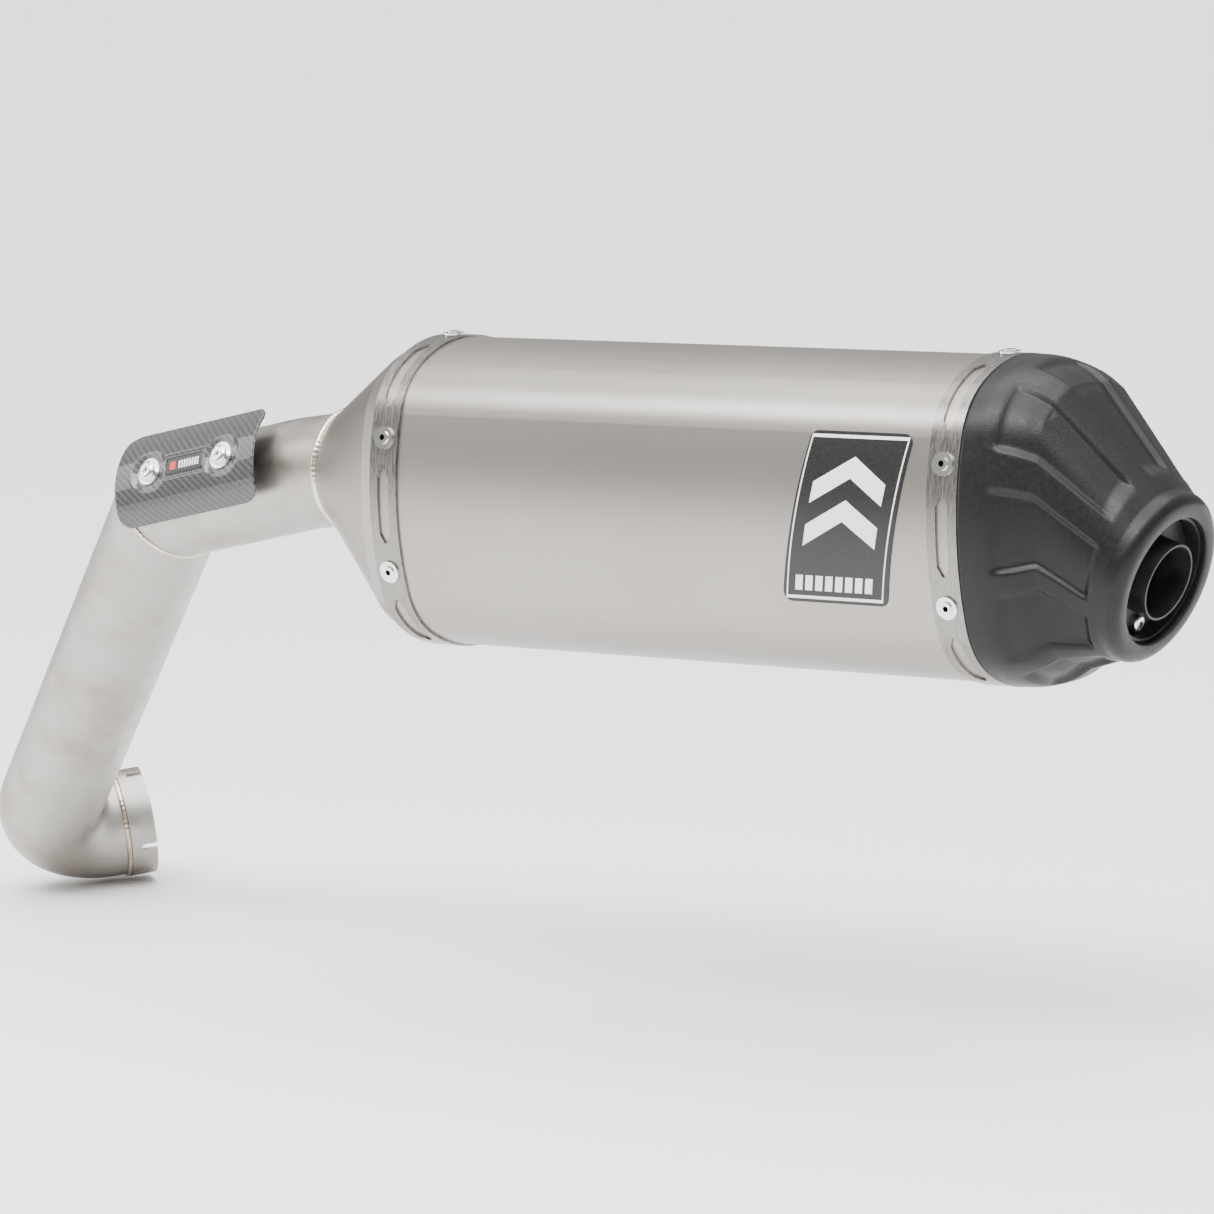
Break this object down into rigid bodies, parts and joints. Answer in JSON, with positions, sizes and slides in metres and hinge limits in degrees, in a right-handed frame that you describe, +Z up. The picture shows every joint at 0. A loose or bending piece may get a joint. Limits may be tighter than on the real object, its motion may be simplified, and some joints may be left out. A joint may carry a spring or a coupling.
{
  "type": "motorcycle exhaust muffler",
  "caption": "Oval slip-on motorcycle muffler with welded link pipe, slotted inlet collar, carbon heat shield, conical end cap and removable noise insert.",
  "frame": {"origin": "centre of the inlet collar's mouth, on the collar's axis", "axes": "+X along the canister's own axis from inlet end towards the outlet, +Z up across the canister's taller side, +Y towards the machine's centre line"},
  "size_m": [0.7693, 0.2247, 0.3029],
  "materials": {
    "titanium": "satin, fine bead-blasted grain",
    "brushed_strap": "brushed",
    "stainless_steel": "dull, lightly heat-tinted",
    "weld": "rippled bead with straw tint",
    "bright_fastener": "polished",
    "satin_black": "satin black heat-proof coating, fine texture",
    "carbon_fibre": "twill weave under clear gloss lacquer",
    "badge_print": "black and white print",
    "steel_wool": "matted wire",
    "glass_wool": "packed fibre",
    "bush_rubber": "matt"
  },
  "bodies": {
    "muffler": {"inlet_collar": "stainless_steel", "collar_weld": "weld", "lower_pipe": "stainless_steel", "elbow_weld": "weld", "upper_pipe": "stainless_steel", "ring_weld": "weld", "front_cone": "titanium", "front_strap": "brushed_strap", "front_rivets": "bright_fastener", "sleeve": "titanium", "sleeve_badge": "badge_print", "front_bulkhead": "stainless_steel", "perforated_core": "stainless_steel", "core_wrap": "steel_wool", "packing": "glass_wool", "rear_bulkhead": "stainless_steel", "rear_strap": "brushed_strap", "rear_rivets": "bright_fastener", "end_cap": "satin_black", "outlet_tube": "satin_black", "bolt_lug": "stainless_steel", "heat_shield": "carbon_fibre", "shield_standoffs": "stainless_steel", "shield_washers": "bright_fastener", "shield_bolts": "bright_fastener", "hanger_bracket": "brushed_strap", "hanger_bush": "bush_rubber", "hanger_sleeve": "stainless_steel"},
    "insert": {"noise_insert": "satin_black"},
    "bolt": {"insert_bolt": "bright_fastener"}
  },
  "joints": [
    {"name": "insert_slide", "type": "slide", "parent": "muffler", "child": "insert", "axis": [0.9472, 0, -0.3206], "range_m": [0, 0.085]},
    {"name": "bolt_unscrew", "type": "slide", "parent": "insert", "child": "bolt", "axis": [0.9472, 0, -0.3206], "range_m": [0, 0.02]}
  ]
}
